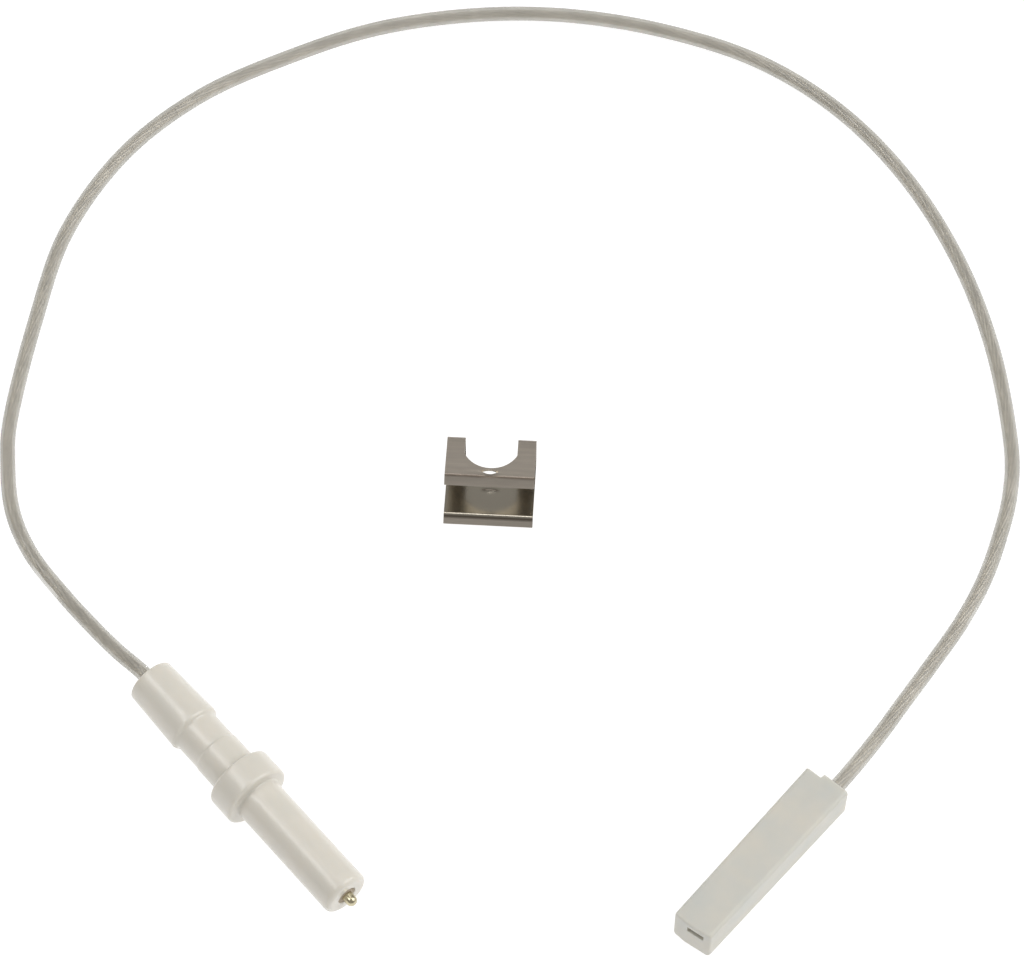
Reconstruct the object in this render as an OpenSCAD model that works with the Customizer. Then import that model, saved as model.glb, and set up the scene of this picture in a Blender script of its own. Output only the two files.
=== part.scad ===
// Ignition electrode for a gas burner: a glazed ceramic insulator on a metal spark rod,
// a transparent high-tension lead, a covered blade receptacle and a loose retaining clip.
// Millimetres. +X runs along the electrode to the spark tip, +Z is up, and the origin is
// the centre of the collar's front face, which seats against the burner.

/* [Ceramic] */
// Length of the barrel in front of the collar
front_len = 21.8; // [12:0.2:60]
// Diameter of the barrel in front of the collar
front_d = 7.7; // [6:0.1:10]
// Radius of the front barrel's outer edge
front_edge = 0.8; // [0.3:0.1:1.5]
// Diameter of the round collar
collar_d = 11.2; // [10.4:0.1:18]
// Thickness of the collar
collar_len = 4.9; // [3:0.1:10]
// Radius of the collar's two edges
collar_edge = 0.5; // [0.3:0.1:0.9]
// Length of the neck that takes the clip
neck_len = 10.6; // [8.4:0.1:20]
// Diameter of the rear half of the neck
neck_d = 7.6; // [6:0.1:8.2]
// Diameter of the front half of the neck
neck_front_d = 7.85; // [6:0.05:8.2]
// Length of the rear barrel
rear_len = 11.4; // [10:0.1:30]
// Diameter of the rear barrel at its end
rear_d = 7.9; // [6.6:0.1:10]
// Diameter of the rear barrel next to the neck
rear_front_d = 8.7; // [6.6:0.1:10]

/* [Spark rod] */
// Diameter of the rod
rod_d = 1.8; // [1:0.1:2.6]
// How far the rod's domed tip stands out of the ceramic
tip_out = 1.9; // [1.4:0.1:12]
// Diameter of the cement ring around the rod
seal_d = 3.2; // [2.8:0.1:5]
// Depth of the cement ring
seal_depth = 1.6; // [0.8:0.1:4]
// How far the cement sits below the front face
seal_sink = 0.2; // [0.1:0.1:0.6]

/* [Lead] */
// Outside diameter of the insulation
lead_d = 2.5; // [2:0.1:3.2]
// Diameter of the stranded conductor
core_d = 1; // [0.6:0.1:1.4]
// Outside diameter of the ferrule that joins rod and conductor
ferrule_d = 3.2; // [3:0.1:3.6]
// Length of the ferrule
ferrule_len = 7; // [4:0.1:8]
// Diameter of the hole in the rear of the ceramic
rear_hole_d = 4.2; // [3.8:0.1:5]

/* [Receptacle] */
// Width of the blade that the receptacle takes
blade_w = 2.8; // [2.4:0.1:4.8]
// Thickness of the blade
blade_t = 0.5; // [0.4:0.1:0.8]
// Thickness of the receptacle's sheet
sheet = 0.3; // [0.2:0.05:0.35]
// Length of the rolled part that grips the blade
grip_len = 6.6; // [5:0.1:9]
// Length of the crimp on the conductor
core_crimp_len = 3.2; // [2:0.1:5]
// Length of the crimp on the insulation
jacket_crimp_len = 2.6; // [2:0.1:4]

/* [Connector cover] */
// Length of the cover
cover_len = 32.7; // [30:0.1:45]
// Width of the cover
cover_w = 7; // [6.8:0.1:12]
// Height of the cover
cover_h = 7.1; // [6.9:0.1:10]
// Thickness of the cover's front wall
cover_front = 0.8; // [0.5:0.1:1.5]
// Radius of the cover's long edges
cover_edge = 0.5; // [0.2:0.1:0.8]

/* [Retaining clip] */
// Width of the clip
clip_w = 14.6; // [12.5:0.1:24]
// Clear gap between the clip's two flanges
clip_gap = 6.2; // [5.6:0.1:12]
// Thickness of the clip's sheet
clip_t = 0.5; // [0.4:0.05:0.8]
// Length of the upper flange up to its lip
clip_top_len = 7.7; // [7.6:0.1:12]
// Length of the lower flange up to its lip
clip_low_len = 10.7; // [8:0.1:18]
// Length of each slanting lip
clip_lip = 1.3; // [0.6:0.1:2]
// Slot's clearance on the neck, on the diameter
clip_clear = 0.75; // [0.2:0.05:1.2]

/* [Hidden] */
$fn = 64;
eps = 0.01;

// Clearances between pieces that are put together.
slip = 0.05;
cover_slip = 0.12;

// Stations along the electrode.
neck_front_x = -collar_len;
neck_back_x = neck_front_x - neck_len;
rear_x = neck_back_x - rear_len;
ground_z = -collar_d / 2;

// Route of the lead's centre line, from inside the ceramic to the receptacle's crimp.
lead_route = [
    [-23, 0, 0], [-29, -0.1, -0.1], [-35, -0.5, -1.2], [-42, -0.4, -2.9], [-50, -0.1, -4.3],
    [-59.5, 0.5, -4.35], [-68, 3, -4.35], [-76, 8, -4.35], [-83, 14, -4.35], [-95, 28, -4.35],
    [-106, 43, -4.35], [-112.5, 60.5, -4.35], [-113.5, 78, -4.35], [-110, 95, -4.35],
    [-104.5, 111, -4.35], [-95.5, 126, -4.35], [-84.5, 138.5, -4.35], [-71, 149, -4.35],
    [-55.5, 157, -4.35], [-38.5, 160.5, -4.35], [-20.5, 159.5, -4.35], [-2.5, 154.5, -4.35],
    [14, 146.5, -4.35], [29, 136, -4.35], [36, 129, -4.35], [41, 121.5, -4.35],
    [45, 114, -4.35], [48, 106, -4.35], [50.3, 97.5, -4.1], [52.6, 88.7, -3.3],
    [54.9, 80.2, -2.1], [56.8, 71.1, -1.2], [57.6, 64.1, -1], [58.4, 56.6, -1],
    [59.4, 49.1, -1]
];
lead_sides = 8;
lead_ring_gap = 7.5;
jacket_start_x = lead_route[0][0];
lead_end = lead_route[len(lead_route) - 1];
plug_turn = 98;

// Ferrule and the two metal ends inside the ceramic.
strand_front_len = 7;
joint_x = jacket_start_x + strand_front_len;
ferrule_back_x = joint_x - ferrule_len / 2;
ferrule_front_x = joint_x + ferrule_len / 2;
hole_front_x = ferrule_front_x + 0.4;
potting_back_x = rear_x + 0.4;
tip_x = front_len + tip_out;
cement_back_x = front_len - seal_sink - seal_depth;

// Receptacle, along its own axis from the blade's end to the lead.
roll_r = blade_t + 1.15 * sheet;
roll_x = blade_w / 2 + slip + sheet - roll_r;
core_crimp_d = core_d + 2 * sheet + 2 * slip;
jacket_crimp_d = lead_d + 2 * sheet + 2 * slip;
core_axis_h = core_crimp_d / 2;
grip_neck = 1.2;
crimp_gap = 0.8;
core_crimp_u = grip_len + grip_neck;
jacket_crimp_u = core_crimp_u + core_crimp_len + crimp_gap;
jacket_end_u = jacket_crimp_u + 0.2;
strand_rear_len = jacket_end_u - core_crimp_u + 0.3;
receptacle_w = 2 * (roll_x + roll_r);
receptacle_h = 2 * roll_r;

// Cover: the receptacle's nose stops against the front wall.
nose_u = cover_front + cover_slip;
front_bay_len = nose_u + grip_len + grip_neck / 2;
front_bay_w = receptacle_w + 2 * cover_slip;
window_lift = 0.65;
front_bay_h = receptacle_h + 2 * cover_slip + window_lift;
rear_bay_w = jacket_crimp_d + 4 * cover_slip;
window_w = blade_w + 0.3;
window_h = 1.7;
cover_nose_w = 0.37 * cover_w;
cover_nose = 0.5;
// The receptacle lies to the right of the cover's middle.
cover_shift = 0.6;

// Clip, along its own depth from the web to the lips.
clip_turn = 46;
clip_web = [-23.8, 68.3];
clip_bend = 0.5;
clip_h = clip_gap + 2 * clip_t;
clip_out = clip_bend + clip_t;
slot_w = neck_front_d + clip_clear;
top_slot_depth = 6.4;
low_slot_depth = 5.4;
slot_bottom_r = 0.55 * slot_w;
barb_w = 2.8;
barb_open = 0.8;
barb_gap = 0.25;

// The clip lies on its web's lower corner and its lower lip, so it tilts a little.
lip_turn = 45;
lip_drop = clip_lip * sin(lip_turn) + clip_bend * (1 - cos(lip_turn));
lip_reach = clip_low_len + clip_bend * sin(lip_turn) + clip_lip * cos(lip_turn) - clip_out;
clip_tilt = atan(lip_drop / lip_reach);
clip_base_z = ground_z + clip_out * (1 - cos(clip_tilt));

function unit(v) = v / norm(v);

// Catmull-Rom point at share t of span i; the end spans lean on mirrored points.
function beside(pts, i) =
    i < 0 ? 2 * pts[0] - pts[1] :
    i >= len(pts) ? 2 * pts[len(pts) - 1] - pts[len(pts) - 2] : pts[i];
function on_span(pts, i, t) =
    let (a = beside(pts, i - 1), b = pts[i], c = pts[i + 1], d = beside(pts, i + 2))
    0.5 * (2 * b + (c - a) * t + (2 * a - 5 * b + 4 * c - d) * t * t
           + (3 * b - a - 3 * c + d) * t * t * t);
function smooth(pts, gap) = [
    for (i = [0 : len(pts) - 2])
        let (n = max(1, round(norm(pts[i + 1] - pts[i]) / gap)))
        for (k = [0 : n - 1]) on_span(pts, i, k / n),
    pts[len(pts) - 1]
];
function heading(pts, i) =
    unit(pts[min(i + 1, len(pts) - 1)] - pts[max(i - 1, 0)]);
function ring(pts, i, r, sides) =
    let (along = heading(pts, i), side = unit(cross([0, 0, 1], along)), up = cross(along, side))
    [for (k = [0 : sides - 1])
        pts[i] + r * (cos(360 * (k + 0.5) / sides) * side + sin(360 * (k + 0.5) / sides) * up)];

// Solid tube of radius r along the points.
module swept_tube(pts, r, sides) {
    last = len(pts) - 1;
    polyhedron(
        points = [for (i = [0 : last]) each ring(pts, i, r, sides)],
        faces = concat(
            [[for (k = [0 : sides - 1]) k]],
            [for (i = [0 : last - 1], k = [0 : sides - 1])
                let (a = i * sides + k, b = i * sides + (k + 1) % sides)
                [a, a + sides, b + sides, b]],
            [[for (k = [0 : sides - 1]) last * sides + sides - 1 - k]]
        )
    );
}

// Turns a shape drawn up Z so that it lies along +X from station x.
module along_x(x) {
    translate([x, 0, 0]) rotate([0, 90, 0]) children();
}

// Half section of a round bar, with rounded outer edges at its back and its front.
module bar_section(length, r, back_edge, front_edge) {
    difference() {
        square([r, length]);
        translate([r - front_edge, length - front_edge])
            edge_cut(front_edge);
        translate([r - back_edge, back_edge])
            mirror([0, 1]) edge_cut(back_edge);
    }
}

module edge_cut(r) {
    difference() {
        square([r + 1, r + 1]);
        circle(r);
    }
}

module round_bar(length, r, back_edge, front_edge) {
    rotate_extrude() bar_section(length, r, back_edge, front_edge);
}

module ceramic_body() {
    neck_step = neck_len / 2;
    color("white") difference() {
        union() {
            along_x(rear_x) cylinder(h = rear_len, d1 = rear_d, d2 = rear_front_d);
            along_x(neck_back_x - eps) cylinder(h = neck_step + 2 * eps, d = neck_d);
            along_x(neck_back_x + neck_step) cylinder(h = neck_step + eps, d = neck_front_d);
            along_x(-collar_len)
                round_bar(collar_len, collar_d / 2, collar_edge, collar_edge);
            along_x(-eps)
                rotate_extrude() difference() {
                    square([front_d / 2, front_len + eps]);
                    translate([front_d / 2 - front_edge, front_len + eps - front_edge])
                        edge_cut(front_edge);
                }
        }
        along_x(rear_x - 1) cylinder(h = hole_front_x - rear_x + 1, d = rear_hole_d);
        along_x(rear_x) cylinder(h = front_len - rear_x, d = rod_d + 2 * slip);
        along_x(cement_back_x) cylinder(h = seal_depth + seal_sink + 1, d = seal_d);
    }
}

module spark_rod() {
    dome_r = rod_d / 2;
    color("dimgray") along_x(joint_x) {
        cylinder(h = tip_x - dome_r - joint_x, d = rod_d);
        translate([0, 0, tip_x - dome_r - joint_x]) sphere(d = rod_d);
    }
}

module tip_cement() {
    color("gainsboro") along_x(cement_back_x) difference() {
        cylinder(h = seal_depth, d = seal_d);
        translate([0, 0, -1]) cylinder(h = seal_depth + 2, d = rod_d);
    }
}

module rod_ferrule() {
    color("silver") along_x(ferrule_back_x) difference() {
        cylinder(h = ferrule_len, d = ferrule_d);
        translate([0, 0, -1]) cylinder(h = ferrule_len / 2 + 1, d = core_d);
        translate([0, 0, ferrule_len / 2]) cylinder(h = ferrule_len, d = rod_d);
    }
}

module front_strands() {
    color("silver") along_x(jacket_start_x) cylinder(h = strand_front_len, d = core_d);
}

module rear_potting() {
    color("ivory") along_x(potting_back_x) difference() {
        cylinder(h = ferrule_back_x - potting_back_x, d = rear_hole_d);
        translate([0, 0, -1]) cylinder(h = jacket_start_x - potting_back_x + 1, d = lead_d);
        cylinder(h = ferrule_len + rear_len, d = core_d);
    }
}

module lead() {
    color("lightgray")
        swept_tube(smooth(lead_route, lead_ring_gap), lead_d / 2, lead_sides);
}

// Frame of the plug: u runs from the blade's end to the lead, and the core's axis is at 0.
module in_plug() {
    translate(lead_end) rotate([0, 0, plug_turn]) translate([-jacket_end_u, 0, 0]) children();
}

module along_u(u) {
    translate([u, 0, 0]) rotate([0, 90, 0]) children();
}

module rear_strands() {
    color("silver") in_plug() along_u(jacket_end_u - strand_rear_len)
        cylinder(h = strand_rear_len, d = core_d);
}

// Section of the grip: a floor with both edges rolled over onto the blade.
module grip_section() {
    translate([-roll_x, 0]) square([2 * roll_x, sheet]);
    for (side = [0, 1]) mirror([side, 0]) translate([roll_x, roll_r]) difference() {
        circle(roll_r);
        circle(roll_r - sheet);
        translate([-roll_r, -roll_r]) square([roll_r, blade_t + sheet]);
    }
}

module blade_receptacle() {
    bridge_w = 0.6 * core_crimp_d;
    color("darkkhaki") in_plug() {
        // The floor is on top, so the section hangs below it.
        translate([0, 0, core_axis_h]) mirror([0, 0, 1]) {
            rotate([90, 0, 90]) linear_extrude(grip_len) grip_section();
            translate([0, -core_axis_h, 0])
                cube([core_crimp_u + eps, 2 * core_axis_h, sheet]);
        }
        // Slanting bridge between the two crimps.
        translate([0, bridge_w / 2, 0]) rotate([90, 0, 0]) linear_extrude(bridge_w)
            polygon([[core_crimp_u + core_crimp_len - eps, core_crimp_d / 2 - sheet],
                     [jacket_crimp_u + eps, jacket_crimp_d / 2 - sheet],
                     [jacket_crimp_u + eps, jacket_crimp_d / 2 - eps],
                     [core_crimp_u + core_crimp_len - eps, core_crimp_d / 2]]);
        along_u(core_crimp_u) crimp(core_crimp_len, core_crimp_d, core_d);
        along_u(jacket_crimp_u) crimp(jacket_crimp_len, jacket_crimp_d, lead_d + 2 * slip);
    }
}

// Closed crimp barrel with a seam along its lower side.
module crimp(length, outer_d, inner_d) {
    seam = 0.3;
    difference() {
        cylinder(h = length, d = outer_d);
        translate([0, 0, -1]) cylinder(h = length + 2, d = inner_d);
        translate([0, -seam / 2, -1]) cube([outer_d, seam, length + 2]);
    }
}

module connector_cover() {
    mid_z = -receptacle_h / 2 + core_axis_h;
    base_z = ground_z - lead_end[2];
    color("whitesmoke") in_plug() translate([-nose_u, 0, 0]) difference() {
        translate([0, 0, base_z]) rotate([90, 0, 90]) linear_extrude(cover_len)
            translate([cover_shift, 0]) cover_outline();
        // Blade window, receptacle bay and lead bay.
        translate([-1, -window_w / 2, mid_z + window_lift - window_h / 2])
            cube([cover_front + 2, window_w, window_h]);
        translate([cover_front, -front_bay_w / 2, mid_z + (window_lift - front_bay_h) / 2])
            cube([front_bay_len, front_bay_w, front_bay_h]);
        translate([front_bay_len, -rear_bay_w / 2, -rear_bay_w / 2])
            cube([cover_len, rear_bay_w, rear_bay_w]);
        // The left part of the rear edge is set back.
        translate([cover_len - cover_nose, cover_shift + cover_w / 2 - cover_nose_w, base_z - 1])
            cube([1, cover_nose_w + 1, cover_h + 2]);
    }
}

module cover_outline() {
    across = cover_w / 2 - cover_edge;
    translate([-across, 0]) square([2 * across, cover_h]);
    translate([-cover_w / 2, cover_edge]) square([cover_w, cover_h - 2 * cover_edge]);
    for (x = [-across, across], y = [cover_edge, cover_h - cover_edge])
        translate([x, y]) circle(cover_edge);
}

// Bent strip: a ring sector between two angles.
module bend(a0, a1) {
    reach = 3 * clip_out;
    intersection() {
        difference() {
            circle(clip_out);
            circle(clip_bend);
        }
        polygon([[0, 0], reach * [cos(a0), sin(a0)],
                 reach * [cos((a0 + a1) / 2), sin((a0 + a1) / 2)],
                 reach * [cos(a1), sin(a1)]]);
    }
}

module flange_section(length, z) {
    translate([clip_out, z]) square([length - clip_out, clip_t]);
    translate([length, z - clip_bend]) {
        bend(90 - lip_turn, 90);
        rotate(-lip_turn) translate([0, clip_bend]) square([clip_lip, clip_t]);
    }
}

module clip_section() {
    translate([0, clip_out]) square([clip_t, clip_h - 2 * clip_out]);
    translate([clip_out, clip_out]) bend(180, 270);
    translate([clip_out, clip_h - clip_out]) bend(90, 180);
    flange_section(clip_low_len, 0);
    flange_section(clip_top_len, clip_h - clip_t);
}

module slot_outline(depth) {
    intersection() {
        translate([-1, -slot_w / 2]) square([depth + 1, slot_w]);
        translate([depth - slot_bottom_r, 0]) circle(slot_bottom_r);
    }
    straight = depth - slot_bottom_r;
    translate([-1, -slot_w / 2]) square([straight + 1, slot_w]);
}

// Lens outline of the opening behind each barb.
module barb_outline() {
    lens_r = (barb_w * barb_w / 4 + barb_open * barb_open / 4) / barb_open;
    intersection_for (side = [-1, 1])
        translate([side * (lens_r - barb_open / 2), 0]) circle(lens_r);
}

// One flange's slot, with the opening of its barb behind it.
module flange_cut(depth) {
    slot_outline(depth);
    translate([depth + barb_gap + barb_open / 2, 0]) barb_outline();
}

module retaining_clip() {
    color("rosybrown") translate([clip_web[0], clip_web[1], clip_base_z])
        rotate([0, 0, clip_turn - 90]) rotate([0, -clip_tilt, 0])
        translate([-clip_out, 0, 0]) difference() {
            translate([0, clip_w / 2, 0]) rotate([90, 0, 0]) linear_extrude(clip_w)
                clip_section();
            translate([0, 0, -1]) linear_extrude(clip_h / 2 + 1) flange_cut(low_slot_depth);
            translate([0, 0, clip_h / 2 - eps])
                linear_extrude(clip_h / 2 + 1) flange_cut(top_slot_depth);
        }
}

ceramic_body();
spark_rod();
tip_cement();
rod_ferrule();
front_strands();
rear_potting();
lead();
rear_strands();
blade_receptacle();
connector_cover();
retaining_clip();
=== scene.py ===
"""Ignition electrode for a gas burner, dressed for the studio.

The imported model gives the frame: a glazed ceramic insulator on a spark rod, a clear high-tension
lead, a covered blade receptacle and a loose retaining clip. Everything here is in metres.
"""
import logging
import math
from collections.abc import Iterable, Sequence
from dataclasses import dataclass, field
from enum import Enum

import bmesh
import bpy
from mathutils import Matrix, Vector


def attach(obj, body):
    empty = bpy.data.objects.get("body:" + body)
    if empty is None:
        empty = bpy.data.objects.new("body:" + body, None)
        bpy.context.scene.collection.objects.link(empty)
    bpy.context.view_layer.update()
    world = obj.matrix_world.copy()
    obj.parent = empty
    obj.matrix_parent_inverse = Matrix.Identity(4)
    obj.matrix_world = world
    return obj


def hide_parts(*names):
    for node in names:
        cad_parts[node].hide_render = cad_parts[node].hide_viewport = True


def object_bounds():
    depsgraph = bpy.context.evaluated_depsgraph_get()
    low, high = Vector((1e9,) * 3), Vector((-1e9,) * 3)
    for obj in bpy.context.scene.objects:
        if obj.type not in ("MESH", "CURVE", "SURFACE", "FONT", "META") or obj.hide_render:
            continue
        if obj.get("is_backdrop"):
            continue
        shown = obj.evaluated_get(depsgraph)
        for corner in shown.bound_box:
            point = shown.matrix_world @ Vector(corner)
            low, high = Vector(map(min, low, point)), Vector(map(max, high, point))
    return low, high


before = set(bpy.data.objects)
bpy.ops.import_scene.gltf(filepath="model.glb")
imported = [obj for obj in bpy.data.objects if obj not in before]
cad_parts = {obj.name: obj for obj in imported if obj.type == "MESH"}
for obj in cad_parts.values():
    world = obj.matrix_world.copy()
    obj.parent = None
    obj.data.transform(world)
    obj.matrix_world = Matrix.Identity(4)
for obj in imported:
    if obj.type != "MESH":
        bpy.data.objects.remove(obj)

log = logging.getLogger("ignition_electrode")

MM = 0.001
FULL_TURN = 2 * math.pi
LONG_EDGE = 1.2 * MM
LONG_EDGE_CUTS = 8


class Body(Enum):
    """Bodies that pieces ride on."""

    ELECTRODE = "electrode"
    COVER = "cover"
    CLIP = "clip"


class Slot(Enum):
    """Finishes that the record names."""

    CERAMIC = "glazed_ceramic"
    ROD = "rod_metal"
    CEMENT = "cement"
    FERRULE = "ferrule_metal"
    STRANDS = "tinned_strands"
    JACKET = "lead_jacket"
    BRASS = "receptacle_brass"
    COVER = "cover_plastic"
    STEEL = "clip_steel"


# --- Shared shader effects -----------------------------------------------------------------


class Effects:
    """Node groups that several finishes place with their own values."""

    _made: dict[str, bpy.types.NodeTree] = {}

    @classmethod
    def _group(cls, name: str, inputs: dict[str, str], outputs: dict[str, str]) -> bpy.types.NodeTree:
        """Makes an empty group with named sockets.

        Args:
            name: Name of the group.
            inputs: Socket type of each input.
            outputs: Socket type of each output.

        Returns:
            The new group, with its Group Input and Group Output nodes.
        """
        tree = bpy.data.node_groups.new(name, "ShaderNodeTree")
        for way, sockets in (("INPUT", inputs), ("OUTPUT", outputs)):
            for socket, kind in sockets.items():
                tree.interface.new_socket(name=socket, in_out=way, socket_type=kind)
        tree.nodes.new("NodeGroupInput")
        tree.nodes.new("NodeGroupOutput")
        cls._made[name] = tree
        return tree

    @classmethod
    def mottle(cls) -> bpy.types.NodeTree:
        """Soft patches: a 0 to 1 mask from two octaves of noise."""
        if "soft_mottle" in cls._made:
            return cls._made["soft_mottle"]
        tree = cls._group(
            "soft_mottle",
            {"Vector": "NodeSocketVector", "Scale": "NodeSocketFloat", "Contrast": "NodeSocketFloat"},
            {"Mask": "NodeSocketFloat"},
        )
        nodes, links = tree.nodes, tree.links
        source, sink = nodes["Group Input"], nodes["Group Output"]
        noise = nodes.new("ShaderNodeTexNoise")
        noise.inputs["Detail"].default_value = 3.0
        noise.inputs["Roughness"].default_value = 0.55
        links.new(source.outputs["Vector"], noise.inputs["Vector"])
        links.new(source.outputs["Scale"], noise.inputs["Scale"])
        centred = math_node(tree, "SUBTRACT", noise.outputs["Fac"], 0.5)
        spread = math_node(tree, "MULTIPLY", centred, source.outputs["Contrast"])
        lifted = math_node(tree, "ADD", spread, 0.5)
        lifted.node.use_clamp = True
        links.new(lifted, sink.inputs["Mask"])
        return tree

    @classmethod
    def grain(cls) -> bpy.types.NodeTree:
        """Fine grain: a normal and a mask from noise, stretched by the vector that it is given."""
        if "fine_grain" in cls._made:
            return cls._made["fine_grain"]
        tree = cls._group(
            "fine_grain",
            {"Vector": "NodeSocketVector", "Scale": "NodeSocketFloat", "Strength": "NodeSocketFloat",
             "Depth": "NodeSocketFloat"},
            {"Mask": "NodeSocketFloat", "Normal": "NodeSocketVector"},
        )
        nodes, links = tree.nodes, tree.links
        source, sink = nodes["Group Input"], nodes["Group Output"]
        noise = nodes.new("ShaderNodeTexNoise")
        noise.inputs["Detail"].default_value = 4.0
        links.new(source.outputs["Vector"], noise.inputs["Vector"])
        links.new(source.outputs["Scale"], noise.inputs["Scale"])
        bump = nodes.new("ShaderNodeBump")
        links.new(source.outputs["Strength"], bump.inputs["Strength"])
        links.new(source.outputs["Depth"], bump.inputs["Distance"])
        links.new(noise.outputs["Fac"], bump.inputs["Height"])
        links.new(noise.outputs["Fac"], sink.inputs["Mask"])
        links.new(bump.outputs["Normal"], sink.inputs["Normal"])
        return tree


def math_node(tree: bpy.types.NodeTree, operation: str, a: bpy.types.NodeSocket,
              b: bpy.types.NodeSocket | float) -> bpy.types.NodeSocket:
    """Adds a Math node.

    Args:
        tree: Tree that it goes in.
        operation: Blender's name for the operation.
        a: First value.
        b: Second value, a socket or a number.

    Returns:
        The node's output.
    """
    node = tree.nodes.new("ShaderNodeMath")
    node.operation = operation
    tree.links.new(a, node.inputs[0])
    if isinstance(b, bpy.types.NodeSocket):
        tree.links.new(b, node.inputs[1])
    else:
        node.inputs[1].default_value = b
    return node.outputs[0]


Colour = tuple[float, float, float]


@dataclass
class Shader:
    """A material under construction, with its Principled BSDF and its pattern vector."""

    name: str
    stretch: tuple[float, float, float] = (1.0, 1.0, 1.0)
    turn: float = 0.0
    uv: str = ""
    material: bpy.types.Material = field(init=False)
    surface: bpy.types.Node = field(init=False)
    vector: bpy.types.NodeSocket = field(init=False)

    def __post_init__(self) -> None:
        """Makes the material and its pattern vector."""
        self.material = bpy.data.materials.new(self.name)
        self.material.use_nodes = True
        nodes, links = self.tree.nodes, self.tree.links
        self.surface = nodes["Principled BSDF"]
        mapping = nodes.new("ShaderNodeMapping")
        mapping.inputs["Scale"].default_value = self.stretch
        mapping.inputs["Rotation"].default_value = (0.0, 0.0, self.turn)
        if self.uv:
            source = nodes.new("ShaderNodeUVMap")
            source.uv_map = self.uv
            links.new(source.outputs["UV"], mapping.inputs["Vector"])
        else:
            source = nodes.new("ShaderNodeTexCoord")
            links.new(source.outputs["Object"], mapping.inputs["Vector"])
        self.vector = mapping.outputs["Vector"]

    @property
    def tree(self) -> bpy.types.NodeTree:
        """The material's node tree."""
        return self.material.node_tree

    def set(self, **values: object) -> None:
        """Sets plain values on the shader's own sockets, named with underscores."""
        for key, value in values.items():
            self.surface.inputs[key.replace("_", " ")].default_value = value

    def effect(self, group: bpy.types.NodeTree, **values: float) -> bpy.types.Node:
        """Places a shared effect that follows the pattern vector.

        Args:
            group: The shared node group.
            values: Its inputs.

        Returns:
            The group's node.
        """
        node = self.tree.nodes.new("ShaderNodeGroup")
        node.node_tree = group
        self.tree.links.new(self.vector, node.inputs["Vector"])
        for key, value in values.items():
            node.inputs[key].default_value = value
        return node

    def attribute(self, name: str) -> bpy.types.NodeSocket:
        """Reads one of the mesh's own 0 to 1 attributes.

        Args:
            name: Name of the attribute.

        Returns:
            Its value.
        """
        node = self.tree.nodes.new("ShaderNodeAttribute")
        node.attribute_name = name
        return node.outputs["Fac"]

    def blend(self, mask: bpy.types.NodeSocket, low: Colour | bpy.types.NodeSocket,
              high: Colour | bpy.types.NodeSocket, way: str = "MIX") -> bpy.types.NodeSocket:
        """Blends two colours over a mask.

        Args:
            mask: Share of the second colour.
            low: Colour where the mask is 0, plain or from another node.
            high: The second colour, plain or from another node.
            way: How the second colour acts, as Blender names it.

        Returns:
            The blended colour.
        """
        mix = self.tree.nodes.new("ShaderNodeMix")
        mix.data_type = "RGBA"
        mix.blend_type = way
        self.tree.links.new(mask, mix.inputs["Factor"])
        for socket, colour in (("A", low), ("B", high)):
            if isinstance(colour, bpy.types.NodeSocket):
                self.tree.links.new(colour, mix.inputs[socket])
            else:
                mix.inputs[socket].default_value = (*colour, 1.0)
        return mix.outputs["Result"]

    def spread(self, mask: bpy.types.NodeSocket, low: float, high: float) -> bpy.types.NodeSocket:
        """Maps a 0 to 1 mask to a range.

        Args:
            mask: The mask.
            low: Value where the mask is 0.
            high: Value where the mask is 1.

        Returns:
            The mapped value.
        """
        node = self.tree.nodes.new("ShaderNodeMapRange")
        node.inputs["To Min"].default_value = low
        node.inputs["To Max"].default_value = high
        self.tree.links.new(mask, node.inputs["Value"])
        return node.outputs["Result"]

    def link(self, value: bpy.types.NodeSocket, socket: str) -> None:
        """Feeds a value that changes over the surface to the shader."""
        self.tree.links.new(value, self.surface.inputs[socket])


# --- Finishes ------------------------------------------------------------------------------


@dataclass(frozen=True)
class GlazedCeramic:
    """Warm white glaze over steatite, faintly mottled, with a soft gloss."""

    pale: Colour = (0.7, 0.66, 0.585)
    shade: Colour = (0.66, 0.635, 0.57)

    def build(self) -> bpy.types.Material:
        """Builds the glaze."""
        shader = Shader("glazed_steatite")
        patches = shader.effect(Effects.mottle(), Scale=210.0, Contrast=1.6)
        shader.link(shader.blend(patches.outputs["Mask"], self.shade, self.pale), "Base Color")
        peel = shader.effect(Effects.grain(), Scale=260.0, Strength=0.8, Depth=0.06 * MM)
        shader.link(shader.spread(peel.outputs["Mask"], 0.3, 0.44), "Roughness")
        shader.link(peel.outputs["Normal"], "Normal")
        shader.set(Subsurface_Weight=0.25, Subsurface_Radius=(1.0, 0.9, 0.75),
                   Subsurface_Scale=0.8 * MM, Coat_Weight=0.6, Coat_Roughness=0.24)
        shader.link(peel.outputs["Normal"], "Coat Normal")
        return shader.material


@dataclass(frozen=True)
class DrawnMetal:
    """Bar or wire metal with drawing lines along it and a slight tarnish."""

    name: str
    bright: Colour
    tarnish: Colour
    roughness: tuple[float, float] = (0.2, 0.36)
    stretch: tuple[float, float, float] = (0.06, 1.0, 1.0)
    turn: float = 0.0
    depth: float = 0.01 * MM

    def build(self) -> bpy.types.Material:
        """Builds the metal."""
        shader = Shader(self.name, stretch=self.stretch, turn=self.turn)
        patches = shader.effect(Effects.mottle(), Scale=700.0, Contrast=2.2)
        shader.link(shader.blend(patches.outputs["Mask"], self.tarnish, self.bright), "Base Color")
        lines = shader.effect(Effects.grain(), Scale=9000.0, Strength=0.35, Depth=self.depth)
        shader.link(shader.spread(lines.outputs["Mask"], *self.roughness), "Roughness")
        shader.link(lines.outputs["Normal"], "Normal")
        shader.set(Metallic=1.0)
        return shader.material


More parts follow.
